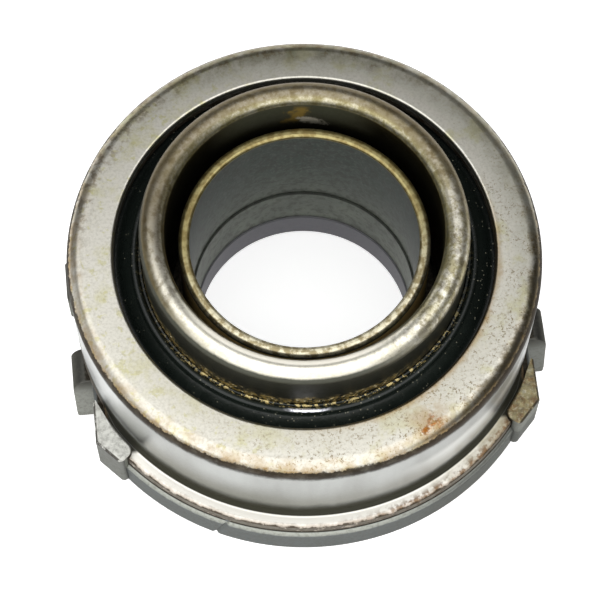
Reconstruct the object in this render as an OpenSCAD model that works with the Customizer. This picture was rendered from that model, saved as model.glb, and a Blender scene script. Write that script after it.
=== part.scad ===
// Self-centring clutch release bearing, standing on the lower end of its guide sleeve.
// Millimetres. The Z axis is the bearing's axis, and the nose that meets the clutch points up.

/* [Guide sleeve] */
// Diameter of the bore that slides on the guide tube
bore_d = 33; // [28:0.5:38]
// Height of the close-fitting land at the lower end of the bore
land_h = 5.5; // [4:0.5:6]
// How much wider the bore is above the land, on each side
bore_relief = 0.25; // [0.1:0.05:0.5]
// Wall of the sleeve above the land
sleeve_wall = 1.65; // [1.4:0.05:3]
// How far the lower collar stands out from the sleeve
collar_w = 1.6; // [1:0.1:2.5]
// Height of the lower collar, which carries the plate
collar_h = 5; // [4.6:0.1:8]
// How far the sleeve's rim stands above the cover
rim_rise = 2.75; // [1:0.25:5]
// Width of the grease groove in the bore
groove_w = 3.8; // [2:0.2:6]
// Depth of the grease groove
groove_depth = 0.3; // [0.1:0.05:0.6]
// Height of the middle of the grease groove
groove_z = 15.5; // [13:0.5:22]

/* [Carrier plate] */
// Thickness of the plate
plate_t = 5.9; // [4:0.1:6.5]
// How far the plate stands out past the cover's flange
plate_lip = 0.7; // [0.1:0.05:0.9]
// How far the plate's straight sides are set in from the cover's wall
side_trim = 1.7; // [1.5:0.05:2.2]
// Width of the gap between two fork lugs, which takes a fork finger
fork_gap = 9.4; // [8:0.2:11]
// Width of a fork lug where it leaves the plate
lug_w = 5.5; // [4:0.1:6]
// How far a fork lug widens towards its foot
lug_flare = 2; // [0.5:0.1:2.4]
// Thickness of a fork lug
lug_t = 2.6; // [2:0.1:2.8]
// How far the fork lugs stand out past the cover's wall
lug_reach = 1.4; // [1:0.05:2]
// Clear height under the fork lugs
lug_clear = 1.2; // [0.8:0.1:2.4]
// Outside radius of the bend above a fork lug
lug_bend = 2.2; // [1:0.1:2.6]

/* [Ears] */
// Angle of each front ear from the X axis
ear_a = 43.2; // [42:0.1:45]
// Angle of each rear ear from the X axis
rear_a = 52; // [48:1:75]
// Width of an ear; a front one runs from the corner of the plate to the tab's tip
ear_w = 5; // [4:0.1:6]
// Thickness of an ear's upright strap
ear_t = 1.4; // [0.8:0.1:2]
// Thickness of the tab folded over the flange
tab_t = 1.5; // [1:0.1:2]

/* [Cover] */
// Thickness of the pressed cover's sheet
sheet_t = 2.1; // [1.5:0.1:2.4]
// Radius of the cover's upper corner, outside
cover_corner = 2.2; // [1.5:0.1:3]
// Width of the cover's flange
flange_w = 2.35; // [2.1:0.05:3]
// Radius of the hollow where the wall meets the flange
flange_fillet = 0.9; // [0.6:0.1:1.4]
// Gap between the inner ring and the cover's hole
hole_gap = 4.1; // [4.05:0.05:5]

/* [Bearing] */
// Ball diameter
ball_d = 6.35; // [5.5:0.05:6.8]
// Number of balls
ball_n = 16; // [12:1:17]
// Depth of each raceway groove
race_depth = 1.25; // [1:0.05:1.5]
// Running gap between a ball and each raceway
race_gap = 0.05; // [0.03:0.01:0.08]
// Width of the outer ring
ring_w = 13.95; // [13.5:0.05:17]
// Wall of the inner ring at its shoulders
inner_wall = 3.65; // [3.2:0.05:4.5]
// Wall of the outer ring behind its raceway
outer_wall = 1.95; // [1.8:0.05:3.5]
// Height of the inner ring's nose above the cover
nose_rise = 7.75; // [4:0.25:10]
// Room for the bearing to shift sideways, inside the sleeve's gap and the cover alike
float_gap = 1.85; // [1.6:0.05:2.2]

/* [Wave spring] */
// Height of the space for the wave spring
spring_h = 3.2; // [2.5:0.1:4.5]
// Thickness of the wave spring's strip
spring_t = 0.7; // [0.4:0.1:1]
// Width of the wave spring's strip
spring_w = 3; // [2:0.1:3.4]
// Number of waves
spring_waves = 4; // [3:1:6]

/* [Hidden] */
$fn = 144;

// How far a cutting shape runs past the face that it cuts
over = 0.02;
// A length that is greater than the whole part
reach = 120;

// Gap between still faces that slide over each other
slide_gap = 0.05;
// Gap between a tab's inner edge and the cover's wall
tab_gap = 1;
// Gap between an ear's strap and the edges of the cover's flange
ear_gap = 0.1;
// Gap between a ball and its pocket in the cage
pocket_gap = 0.3;
// Gap between the cage and the shoulders of the rings
cage_gap = 0.45;
// Gap between a seal's lip and the inner ring
lip_gap = 0.1;

// Heights, from the sleeve's lower end
plate_z = collar_h;
plate_top = plate_z + plate_t;
flange_top = plate_top + sheet_t;
tab_top = flange_top + tab_t;
ring_rear = plate_top + spring_h;
ring_front = ring_rear + ring_w;
race_z = ring_rear + ring_w / 2;
cover_under = ring_front + 2 * slide_gap;
cover_top = cover_under + sheet_t;
rim_top = cover_top + rim_rise;
nose_top = cover_top + nose_rise;

// Radii, from the bore outwards
bore_r = bore_d / 2;
sleeve_in_r = bore_r + bore_relief;
sleeve_r = sleeve_in_r + sleeve_wall;
collar_r = sleeve_r + collar_w;
inner_in_r = sleeve_r + float_gap;
inner_r = inner_in_r + inner_wall;
inner_race_r = inner_r - race_depth;
ball_r = ball_d / 2;
pitch_r = inner_race_r + race_gap + ball_r;
outer_race_r = pitch_r + ball_r + race_gap;
outer_in_r = outer_race_r - race_depth;
outer_r = outer_race_r + outer_wall;
cover_in_r = outer_r + float_gap;
cover_r = cover_in_r + sheet_t;
flange_r = cover_r + flange_w;
plate_r = flange_r + plate_lip;
hole_r = inner_r + hole_gap;

// A raceway's section is an arc a little wider than the ball
race_wrap = 1.04;
race_r = race_wrap * ball_r;

// Height of the upright edge at a lug's foot, below its flare
lug_foot = 2.2;

// How far an ear's foot stays above the underside of the plate
ear_foot = 0.6;

// Straight sides, lugs and ears
side_x = cover_r - side_trim;
side_in = side_x - ear_t;
lug_x = cover_r + lug_reach;
slot_y = fork_gap / 2;
lug_y = slot_y + lug_w;
foot_y = lug_y + lug_flare;
foot_z = lug_clear + lug_foot;
ear_in = flange_r + ear_gap;
ear_out = ear_in + ear_t;
ear_z = plate_z + ear_foot;

// Where a front ear starts and ends along the line across its angle, from the point nearest the axis
ear_corner_t = (ear_out * cos(ear_a) - side_x) / sin(ear_a);
ear_tip_t = ear_corner_t + ear_w;
tab_in_r = cover_r + tab_gap;

// Small edge radii
rim_edge = 0.8;
bore_edge = 0.5;
collar_edge = 0.6;
plate_edge = 0.8;
sheet_edge = 0.5;
lug_edge = 1.2;
ring_edge = 0.8;
fold_edge = 0.5;
tab_edge = 1.3;

// Slanted nick in the front of the plate's rim
nick_a = -115;
nick_w = 0.5;
nick_depth = 0.35;
nick_slant = 18;

// Crown cage, open on the side of the nose, with its floor under the balls and prongs that hold them
cage_floor = 0.7;
cage_snap = 1.4;
cage_in_r = inner_r + cage_gap;
cage_out_r = outer_in_r - cage_gap;
pocket_r = ball_r + pocket_gap;
cage_z = race_z - pocket_r - cage_floor;
cage_top = race_z + cage_snap;
prong_gap = 1.4;
prong_depth = 3;

// Seals, seated in a recess at each end of the outer ring and clear of the cage
seal_room = 0.3;
seal_h = cage_z - ring_rear - seal_room;
seal_seat = 0.9;
seal_r = outer_in_r + seal_seat;
lip_r = inner_r + lip_gap;
lip_w = 0.9;
lip_h = seal_h / 3;
ridge_r = 0.5;
ridge_rise = 0.85;

// Wave spring, a strip of constant section whose height follows a sine
spring_inset = 0.2;
spring_out_r = outer_r - spring_inset;
spring_in_r = spring_out_r - spring_w;
spring_mid = plate_top + spring_h / 2;
spring_swing = (spring_h - spring_t) / 2 - slide_gap;
spring_steps = 96;

function ball_name(i) = str("ball_", i < 10 ? "0" : "", i);
ball_names = [for (i = [1:ball_n]) ball_name(i)];

// Waste that rounds an outside corner at p; turn 0 is the corner at the upper right, then anticlockwise
module corner_waste(p, r, turn) {
    translate(p)
        rotate(90 * turn)
            translate([-r, -r])
                difference() {
                    square(r + over);
                    circle(r);
                }
}

// Fill that rounds an inside corner at p; turn 0 opens to the upper right, then anticlockwise
module corner_fill(p, r, turn) {
    translate(p)
        rotate(90 * turn)
            translate([-over, -over])
                difference() {
                    square(r + over);
                    translate([r + over, r + over])
                        circle(r);
                }
}

// Keeps what lies between two straight sides, each at x from the axis
module between_sides(x) {
    intersection() {
        children();
        translate([-x, -reach / 2, 0])
            cube([2 * x, reach, reach]);
    }
}

// A shape and its mirror image across the X axis
module both_sides() {
    for (side = [0, 1])
        mirror([side, 0, 0])
            children();
}

module sleeve_section() {
    difference() {
        union() {
            translate([bore_r, 0])
                square([sleeve_r - bore_r, rim_top]);
            translate([bore_r, 0])
                square([collar_r - bore_r, collar_h]);
        }
        translate([0, land_h])
            square([sleeve_in_r, rim_top]);
        translate([0, groove_z - groove_w / 2])
            square([sleeve_in_r + groove_depth, groove_w]);
        corner_waste([sleeve_r, rim_top], rim_edge, 0);
        corner_waste([sleeve_in_r, rim_top], bore_edge, 1);
        corner_waste([bore_r, 0], bore_edge, 2);
        corner_waste([collar_r, 0], collar_edge, 3);
    }
}

module guide_sleeve() {
    color([0.52, 0.50, 0.40])
        rotate_extrude()
            sleeve_section();
}

module plate_disc() {
    between_sides(side_x)
        rotate_extrude()
            difference() {
                translate([sleeve_r, plate_z])
                    square([plate_r - sleeve_r, plate_t]);
                corner_waste([plate_r, plate_top], plate_edge, 0);
                corner_waste([plate_r, plate_z], plate_edge / 2, 3);
            }
}

// Side view of a fork lug and its bend, in X and Z
module lug_bend_section() {
    difference() {
        union() {
            translate([collar_r, plate_z])
                square([lug_x - collar_r, plate_t]);
            translate([lug_x - lug_t, lug_clear])
                square([lug_t, plate_top - lug_clear]);
        }
        corner_waste([lug_x, plate_top], lug_bend, 0);
    }
}

// End view of one fork lug, in Y and Z
module lug_outline() {
    difference() {
        polygon([[slot_y, lug_clear], [foot_y, lug_clear], [foot_y, foot_z], [lug_y, plate_top],
                 [slot_y, plate_top]]);
        corner_waste([foot_y, lug_clear], lug_edge, 3);
        corner_waste([slot_y, lug_clear], lug_edge / 2, 2);
    }
}

// The pair of fork lugs at one side
module fork_lugs() {
    intersection() {
        rotate([90, 0, 0])
            linear_extrude(height = reach, center = true)
                lug_bend_section();
        rotate([90, 0, 90])
            linear_extrude(height = reach)
                union() {
                    lug_outline();
                    mirror([1, 0])
                        lug_outline();
                }
    }
}

// Plan of what lies inside two lines, one across an ear's angle and one in line with the plate's side
module ear_corner(angle, across, side) {
    intersection() {
        rotate(angle)
            translate([0, -reach / 2])
                square([across, reach]);
        square([side, reach]);
    }
}

// Plan of a front ear's tab: along the cover's wall, with a rounded tip
module front_tab() {
    tip_x = sqrt(pow(tab_in_r, 2) - pow(ear_tip_t, 2));
    difference() {
        ear_corner(ear_a, ear_out, side_x);
        circle(tab_in_r);
        rotate(ear_a) {
            translate([0, ear_tip_t])
                square(reach);
            corner_waste([tip_x, ear_tip_t], tab_edge, 1);
            corner_waste([ear_out, ear_tip_t], tab_edge / 2, 0);
        }
    }
}

// Plan of a rear ear's tab: square across the rim
module rear_tab() {
    difference() {
        rotate(rear_a)
            translate([0, -ear_w / 2])
                square([ear_out, ear_w]);
        circle(tab_in_r);
    }
}

// One ear: a block up the plate's rim, slotted for the flange, so that a strap carries the tab over it
module ear(angle, side) {
    difference() {
        translate([0, 0, ear_z])
            linear_extrude(height = tab_top - ear_z)
                children();
        translate([0, 0, plate_top])
            linear_extrude(height = sheet_t)
                ear_corner(angle, ear_in, side);
        rotate(angle)
            rotate([90, 0, 0])
                linear_extrude(height = reach, center = true)
                    corner_waste([ear_out, tab_top], fold_edge, 0);
    }
}

module rim_nick() {
    rotate(nick_a)
        translate([plate_r - nick_depth, 0, plate_z + plate_t / 2])
            rotate([-nick_slant, 0, 0])
                translate([0, -nick_w / 2, -plate_t])
                    cube([plate_t, nick_w, 2 * plate_t]);
}

module carrier_plate() {
    color([0.42, 0.43, 0.42])
        difference() {
            union() {
                plate_disc();
                both_sides() {
                    fork_lugs();
                    mirror([0, 1, 0])
                        ear(ear_a, side_in)
                            front_tab();
                    ear(rear_a, reach)
                        rear_tab();
                }
            }
            rim_nick();
        }
}

module cover_wall_section() {
    difference() {
        union() {
            translate([hole_r, cover_under])
                square([cover_r - hole_r, sheet_t]);
            translate([cover_in_r, plate_top])
                square([sheet_t, cover_top - plate_top]);
        }
        corner_waste([cover_r, cover_top], cover_corner, 0);
        corner_waste([hole_r, cover_top], sheet_edge, 1);
        corner_waste([cover_in_r, plate_top], flange_fillet + sheet_t, 2);
    }
}

module cover_flange_section() {
    difference() {
        union() {
            translate([cover_in_r, plate_top])
                square([flange_r - cover_in_r, sheet_t]);
            corner_fill([cover_r, flange_top], flange_fillet, 0);
        }
        corner_waste([cover_in_r, plate_top], flange_fillet + sheet_t, 2);
        corner_waste([flange_r, flange_top], sheet_edge, 0);
    }
}

module cover() {
    color([0.74, 0.72, 0.66]) {
        rotate_extrude()
            cover_wall_section();
        between_sides(side_in - ear_gap)
            rotate_extrude()
                cover_flange_section();
    }
}

// Ring of the strip's four corners at one step round the wave spring
function spring_ring(step) =
    let (a = 360 * step / spring_steps, z = spring_mid + spring_swing * sin(spring_waves * a))
    [for (c = [[spring_in_r, -1], [spring_out_r, -1], [spring_out_r, 1], [spring_in_r, 1]])
        [c[0] * cos(a), c[0] * sin(a), z + c[1] * spring_t / 2]];

module wave_spring() {
    points = [for (step = [0:spring_steps - 1]) each spring_ring(step)];
    faces = [for (step = [0:spring_steps - 1])
                let (here = 4 * step, next = 4 * ((step + 1) % spring_steps))
                for (c = [0:3])
                    let (d = (c + 1) % 4)
                    [here + c, here + d, next + d, next + c]];
    color([0.35, 0.36, 0.38])
        polyhedron(points, faces);
}

module outer_ring() {
    color([0.60, 0.60, 0.62])
        rotate_extrude()
            difference() {
                translate([outer_in_r, ring_rear])
                    square([outer_r - outer_in_r, ring_w]);
                translate([outer_race_r - race_r, race_z])
                    circle(race_r);
                translate([0, ring_front - seal_h])
                    square([seal_r, seal_h + over]);
                translate([0, ring_rear - over])
                    square([seal_r, seal_h + over]);
                corner_waste([outer_r, ring_front], ring_edge, 0);
                corner_waste([outer_r, ring_rear], ring_edge, 3);
            }
}

module inner_ring() {
    nose_r = inner_wall / 2;
    color([0.66, 0.64, 0.56])
        rotate_extrude()
            difference() {
                translate([inner_in_r, ring_rear])
                    square([inner_wall, nose_top - ring_rear]);
                translate([inner_race_r + race_r, race_z])
                    circle(race_r);
                corner_waste([inner_r, nose_top], nose_r, 0);
                corner_waste([inner_in_r, nose_top], nose_r, 1);
                corner_waste([inner_in_r, ring_rear], ring_edge, 2);
                corner_waste([inner_r, ring_rear], ring_edge / 2, 3);
            }
}

module at_ball(i) {
    rotate(360 * (i - 1) / ball_n)
        translate([pitch_r, 0, race_z])
            children();
}

module ball(i) {
    color([0.80, 0.81, 0.83])
        at_ball(i)
            sphere(ball_r);
}

// Rounded slot between two prongs of the cage, cut along a radius
module prong_slot() {
    floor_z = cage_top - prong_depth;
    translate([cage_in_r - cage_gap, 0, 0])
        rotate([90, 0, 90])
            linear_extrude(height = cage_out_r - cage_in_r + 2 * cage_gap)
                union() {
                    translate([-prong_gap / 2, floor_z])
                        square([prong_gap, prong_depth + over]);
                    translate([0, floor_z])
                        circle(prong_gap / 2);
                }
}

module cage() {
    color([0.25, 0.24, 0.20])
        difference() {
            rotate_extrude()
                translate([cage_in_r, cage_z])
                    square([cage_out_r - cage_in_r, cage_top - cage_z]);
            for (i = [1:ball_n]) {
                at_ball(i)
                    sphere(pocket_r);
                rotate(360 * (i - 0.5) / ball_n)
                    prong_slot();
            }
        }
}

// The front seal slopes up from its seat to a ridge, then leans a lip on the inner ring
module front_seal() {
    foot = ring_front - seal_h;
    brim = ring_front - seal_h / 3;
    ridge_at = [lip_r + lip_w + ridge_r / 4, ring_front + ridge_rise];
    color([0.05, 0.05, 0.05])
        rotate_extrude()
            union() {
                polygon([[seal_r, foot], [seal_r, brim], [outer_in_r - seal_seat / 2, brim],
                         [ridge_at[0] + ridge_r, ridge_at[1]], [ridge_at[0], ridge_at[1] + ridge_r],
                         [lip_r, ridge_at[1] + ridge_r], [lip_r, ridge_at[1]],
                         [lip_r + lip_w, ring_front], [lip_r + lip_w, foot + lip_h],
                         [lip_r + 2 * lip_w, foot]]);
                translate(ridge_at)
                    circle(ridge_r);
            }
}

// The rear seal is a flat washer with a slanted lip, flush with the ring's end
module rear_seal() {
    head = ring_rear + seal_h;
    color([0.07, 0.07, 0.07])
        rotate_extrude()
            polygon([[seal_r, ring_rear + lip_gap], [seal_r, head], [lip_r + 2 * lip_w, head],
                     [lip_r + lip_w, head - lip_h], [lip_r, ring_rear + 2 * lip_h],
                     [lip_r, ring_rear + lip_h], [lip_r + 2 * lip_w, ring_rear + lip_h],
                     [outer_in_r - seal_seat, ring_rear + lip_gap]]);
}

guide_sleeve();
carrier_plate();
cover();
wave_spring();
outer_ring();
inner_ring();
cage();
front_seal();
rear_seal();
for (i = [1:ball_n]) ball(i);
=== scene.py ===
"""Looks of a self-centring clutch release bearing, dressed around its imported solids.

Lengths are millimetres inside the classes and metres in Blender. The bearing's axis is +Z, its front is -Y.
"""

import logging
from dataclasses import dataclass
from enum import Enum
from typing import Optional, Sequence, Union

import bpy
import numpy as np
from mathutils import Matrix, Vector


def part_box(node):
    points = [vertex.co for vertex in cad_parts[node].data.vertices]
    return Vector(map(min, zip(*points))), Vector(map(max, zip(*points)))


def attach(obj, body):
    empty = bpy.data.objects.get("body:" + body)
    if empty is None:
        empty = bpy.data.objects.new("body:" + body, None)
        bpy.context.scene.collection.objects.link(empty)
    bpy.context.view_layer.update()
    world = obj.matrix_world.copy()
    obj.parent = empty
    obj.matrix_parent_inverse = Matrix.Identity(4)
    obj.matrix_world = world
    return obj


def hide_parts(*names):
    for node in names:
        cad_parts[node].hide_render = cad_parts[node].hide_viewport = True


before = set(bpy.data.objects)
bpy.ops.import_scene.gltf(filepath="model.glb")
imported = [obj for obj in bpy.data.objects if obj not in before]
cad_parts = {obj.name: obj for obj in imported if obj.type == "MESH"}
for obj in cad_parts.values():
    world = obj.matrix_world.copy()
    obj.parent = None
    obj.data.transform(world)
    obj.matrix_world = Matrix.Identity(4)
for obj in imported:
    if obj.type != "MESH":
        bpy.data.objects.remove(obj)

LOG = logging.getLogger("release_bearing")
MM = 0.001
IMAGE_PX = 600
TURN = 2 * np.pi
TINY = 1e-6

Colour = tuple[float, float, float]
Place = tuple[float, float, float]
Number = Union[float, "Wire"]
Tone = Union[Colour, "Wire"]


class Body(Enum):
    """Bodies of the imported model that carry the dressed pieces."""

    CARRIER = "carrier"
    BEARING = "bearing"
    INNER_RACE = "inner_race"


class Slot(Enum):
    """Names of material slots of the record."""

    SLEEVE = "sleeve_steel"
    PLATE = "plate_steel"
    COVER = "cover_steel"
    NOSE = "nose_steel"
    SEAL = "seal_rubber"


class Wire:
    """An output socket that takes part in arithmetic by adding Math nodes to its material."""

    def __init__(self, paint: "Paint", socket: bpy.types.NodeSocket) -> None:
        """Keeps the socket and the material that it belongs to."""
        self.paint = paint
        self.socket = socket

    def __add__(self, other: Number) -> "Wire":
        """Sum."""
        return self.paint.math("ADD", self, other)

    def __sub__(self, other: Number) -> "Wire":
        """Difference."""
        return self.paint.math("SUBTRACT", self, other)

    def __rsub__(self, other: Number) -> "Wire":
        """Difference from a number."""
        return self.paint.math("SUBTRACT", other, self)

    def __mul__(self, other: Number) -> "Wire":
        """Product."""
        return self.paint.math("MULTIPLY", self, other)

    def __pow__(self, other: Number) -> "Wire":
        """Power."""
        return self.paint.math("POWER", self, other)

    __radd__ = __add__
    __rmul__ = __mul__


class Paint:
    """One material and the nodes that colour it, in millimetres on Object coordinates."""

    def __init__(self, name: str) -> None:
        """Starts a material with the place of the shaded point and its distance from the axis.

        Args:
            name: name of the material.
        """
        self.material = bpy.data.materials.new(name)
        self.material.use_nodes = True
        self.tree = self.material.node_tree
        self.shader = self.tree.nodes["Principled BSDF"]
        spot = self.node("ShaderNodeTexCoord").outputs["Object"]
        scaled = self.node("ShaderNodeVectorMath", {"operation": "SCALE"},
                           {0: Wire(self, spot), "Scale": 1 / MM})
        self.place = Wire(self, scaled.outputs[0])
        parts = self.node("ShaderNodeSeparateXYZ", {}, {0: self.place})
        self.x, self.y, self.z = (Wire(self, socket) for socket in parts.outputs)
        self.radius = (self.x * self.x + self.y * self.y) ** 0.5

    def node(self, kind: str, settings: Optional[dict] = None,
             sockets: Optional[dict] = None) -> bpy.types.Node:
        """Adds any node.

        Args:
            kind: type of the node.
            settings: its properties, which are set first.
            sockets: values or wires for its inputs, by name or index.

        Returns:
            The new node.
        """
        made = self.tree.nodes.new(kind)
        for name, value in (settings or {}).items():
            setattr(made, name, value)
        for key, value in (sockets or {}).items():
            self.feed(made.inputs[key], value)
        return made

    def feed(self, socket: bpy.types.NodeSocket, value: Union[float, Tone]) -> None:
        """Links a wire to a socket, or sets the socket's own value."""
        if isinstance(value, Wire):
            self.tree.links.new(value.socket, socket)
        elif socket.type == "RGBA":
            socket.default_value = (*value, 1.0)
        else:
            socket.default_value = value

    def math(self, operation: str, first: Number, second: Number = 0.0) -> Wire:
        """A Math node on two values."""
        made = self.node("ShaderNodeMath", {"operation": operation}, {0: first, 1: second})
        return Wire(self, made.outputs[0])

    def smooth(self, value: Number, low: float, high: float) -> Wire:
        """0 below low and 1 above high with a smooth step between, or the reverse where low is greater."""
        sockets = {"Value": value, "From Min": low, "From Max": high}
        made = self.node("ShaderNodeMapRange", {"interpolation_type": "SMOOTHSTEP"}, sockets)
        return Wire(self, made.outputs[0])

    def band(self, value: Wire, low: float, high: float, soft: float) -> Wire:
        """1 between low and high, falling to 0 over soft on either side."""
        return self.smooth(value, low - soft, low) * self.smooth(value, high + soft, high)

    def mix(self, share: Number, under: Tone, over: Tone) -> Wire:
        """Lays one colour over another, by the share of the upper one that shows."""
        made = self.node("ShaderNodeMix", {"data_type": "RGBA"}, {0: share, 6: under, 7: over})
        return Wire(self, made.outputs[2])

    def coats(self, base: Tone, *layers: tuple[Number, Tone]) -> Tone:
        """Lays colours over a base in turn.

        Args:
            base: lowest colour.
            layers: pairs of a share that shows and its colour, from the lowest up.

        Returns:
            The mixed colour.
        """
        for share, over in layers:
            base = self.mix(share, base, over)
        return base

    def noise(self, size: float, detail: float = 3.0, rough: float = 0.55,
              stretch: Place = (1.0, 1.0, 1.0), shift: float = 0.0) -> Wire:
        """Cloudy noise from 0 to 1.

        Args:
            size: width of its larger blotches.
            detail: number of finer layers.
            rough: share of the finer layers.
            stretch: factors on the three axes, below 1 where blotches are longer.
            shift: offset that gives another pattern.

        Returns:
            The noise value.
        """
        moved = self.node("ShaderNodeVectorMath", {"operation": "MULTIPLY_ADD"},
                          {0: self.place, 1: stretch, 2: (shift, shift * 0.7, shift * 0.4)})
        sockets = {"Vector": Wire(self, moved.outputs[0]), "Scale": 1 / size, "Detail": detail,
                   "Roughness": rough}
        return Wire(self, self.node("ShaderNodeTexNoise", {}, sockets).outputs[0])

    def grains(self, size: float) -> Wire:
        """Distance from the nearest of many scattered points, which are about one size apart."""
        sockets = {"Vector": self.place, "Scale": 1 / size}
        return Wire(self, self.node("ShaderNodeTexVoronoi", {}, sockets).outputs["Distance"])

    def near(self, x: float, y: float, reach: float) -> Wire:
        """1 at a point of the plan, falling to 0 at a distance of reach."""
        across, along = self.x - x, self.y - y
        return self.smooth((across * across + along * along) ** 0.5, reach, 0.0)

    def bump(self, height: Wire, depth: float, strength: float = 1.0) -> None:
        """Roughens the surface's normal by a height from 0 to 1 that stands for a depth in millimetres."""
        sockets = {"Strength": strength, "Distance": depth * MM, "Height": height}
        made = self.node("ShaderNodeBump", {}, sockets)
        self.feed(self.shader.inputs["Normal"], Wire(self, made.outputs[0]))

    def surface(self, **values: Union[float, Tone]) -> bpy.types.Material:
        """Feeds the shader's sockets, which are named with underscores for spaces, and returns the material."""
        for name, value in values.items():
            self.feed(self.shader.inputs[name.replace("_", " ").title().replace("Ior", "IOR")], value)
        return self.material


@dataclass
class Shell:
    """A closed surface in millimetres: points, four-sided faces, and end faces with any number of sides."""

    points: np.ndarray
    quads: np.ndarray
    ends: list[list[int]]

    def joined(self, other: "Shell") -> "Shell":
        """Both shells in one."""
        first = len(self.points)
        ends = self.ends + [[first + i for i in end] for end in other.ends]
        return Shell(np.vstack([self.points, other.points]), np.vstack([self.quads, other.quads + first]), ends)

    def mirrored(self, x: bool, y: bool) -> "Shell":
        """The shell seen in a mirror across X, Y or both, with its faces still outwards."""
        points = self.points * np.array([-1.0 if x else 1.0, -1.0 if y else 1.0, 1.0])
        if x == y:
            return Shell(points, self.quads, self.ends)
        return Shell(points, self.quads[:, ::-1], [end[::-1] for end in self.ends])

    def piece(self, name: str, sharp: float = 38.0) -> bpy.types.Object:
        """Makes the Blender object.

        Args:
            name: name of the piece.
            sharp: angle in degrees above which an edge stays sharp.

        Returns:
            The object, at the origin.
        """
        mesh = bpy.data.meshes.new(name)
        mesh.from_pydata((self.points * MM).tolist(), [], self.quads.tolist() + self.ends)
        mesh.validate()
        mesh.shade_smooth()
        mesh.set_sharp_from_angle(angle=np.radians(sharp))
        made = bpy.data.objects.new(name, mesh)
        bpy.context.scene.collection.objects.link(made)
        return made


def swept(points: np.ndarray, ring: bool) -> Shell:
    """Skins a grid whose rows are the points of an outline and whose columns are the steps of its path.

    The outline runs anticlockwise as seen against the path, so that the faces look outwards.

    Args:
        points: array of rows by columns by 3.
        ring: whether the path is closed. An open one gets an end face at each end.

    Returns:
        The closed shell.
    """
    rows, steps = points.shape[:2]
    last = steps if ring else steps - 1
    row, step = np.meshgrid(np.arange(rows), np.arange(last), indexing="ij")
    below, ahead = (row + 1) % rows, (step + 1) % steps
    quads = np.stack([row * steps + step, row * steps + ahead, below * steps + ahead, below * steps + step], -1)
    first = (np.arange(rows) * steps).tolist()
    final = (np.arange(rows) * steps + steps - 1).tolist()
    return Shell(points.reshape(-1, 3), quads.reshape(-1, 4), [] if ring else [first, final[::-1]])


def rounded_loop(corners: Sequence[tuple[float, float, float]], pitch: float = 1.0) -> np.ndarray:
    """Closed outline whose corners are arcs.

    An arc of radius r starts r / tan(half the corner's angle) before its corner and ends as far after it, and
    its centre is r / sin(half the angle) from the corner, on the corner's bisector. Straight stretches get
    points at a small distance from each end, which keep them flat in smooth shading, and an even pitch between.

    Args:
        corners: places and radii of the corners, anticlockwise.
        pitch: greatest distance between points on a straight stretch.

    Returns:
        The outline's points.
    """
    hold, facet = 0.05, np.radians(9.0)
    places = np.array([corner[:2] for corner in corners], float)
    arcs = []
    for here, (before, after, corner) in enumerate(zip(np.roll(places, 1, 0), np.roll(places, -1, 0), corners)):
        back, ahead = before - places[here], after - places[here]
        back, ahead = back / np.hypot(*back), ahead / np.hypot(*ahead)
        half = 0.5 * np.arccos(np.clip(back @ ahead, -1.0, 1.0))
        if corner[2] <= 0 or half > 0.49 * np.pi:
            arcs.append(places[here][None])
            continue
        bisector = (back + ahead) / np.hypot(*(back + ahead))
        centre = places[here] + bisector * corner[2] / np.sin(half)
        start = places[here] + back * corner[2] / np.tan(half) - centre
        bend = np.sign(back[1] * ahead[0] - back[0] * ahead[1]) * (np.pi - 2 * half)
        turn = np.linspace(0.0, bend, max(2, int(np.ceil(abs(bend) / facet))) + 1)
        arcs.append(centre + np.stack([start[0] * np.cos(turn) - start[1] * np.sin(turn),
                                       start[0] * np.sin(turn) + start[1] * np.cos(turn)], axis=1))
    outline = []
    for arc, following in zip(arcs, arcs[1:] + arcs[:1]):
        gap = following[0] - arc[-1]
        length = np.hypot(*gap)
        outline.append(arc if length > hold / 50 else arc[:-1])
        if length > 4 * hold:
            along = np.linspace(hold, length - hold, max(2, int(np.ceil(length / pitch)) + 1))
            outline.append(arc[-1] + gap * (along / length)[:, None])
    return np.vstack(outline)


def arc_points(centre: tuple[float, float], radius: float, start: float, end: float) -> np.ndarray:
    """Points on an arc, from a start to an end angle in degrees."""
    steps = 24
    turn = np.radians(np.linspace(start, end, steps))
    return np.stack([centre[0] + radius * np.cos(turn), centre[1] + radius * np.sin(turn)], axis=1)


def round_axis(loop: np.ndarray, turns: np.ndarray, was: Sequence[float] = (),
               now: Optional[np.ndarray] = None, shift: Union[float, np.ndarray] = 0.0) -> np.ndarray:
    """Carries a section of radii and heights round the axis, as a grid of points.

    A point (r, z) goes to (r' cos t, r' sin t, z). Between radii that are named in was, r' lies in proportion
    between the radii that now gives for the same turn t, so a round part can have straight sides.

    Args:
        loop: section, as radii and heights.
        turns: angles of the steps.
        was: radii of the section that are moved, in rising order.
        now: where they are moved to, one row for each of them and one column for each step.
        shift: what is added to the radii.

    Returns:
        Array of section points by steps by 3.
    """
    radii = np.repeat(loop[:, :1], len(turns), axis=1)
    if now is not None:
        shares = np.stack([np.interp(loop[:, 0], was, unit) for unit in np.eye(len(was))], axis=1)
        beyond = loop[:, 0] - np.clip(loop[:, 0], was[0], was[-1])
        radii = shares @ now + beyond[:, None]
    radii = radii + shift
    heights = np.repeat(loop[:, 1:], len(turns), axis=1)
    return np.stack([radii * np.cos(turns), radii * np.sin(turns), heights], axis=-1)


def full_turn(steps: int, extra: Sequence[float] = ()) -> np.ndarray:
    """Angles of even steps round the axis with some more among them, in rising order."""
    even = np.linspace(0.0, TURN, steps, endpoint=False)
    return np.unique(np.round(np.concatenate([even, np.mod(np.asarray(extra, float), TURN)]), 6))


def revolved(loop: np.ndarray, steps: int) -> Shell:
    """A section of radii and heights turned once round the axis."""
    return swept(round_axis(loop, full_turn(steps)), ring=True)


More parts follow.
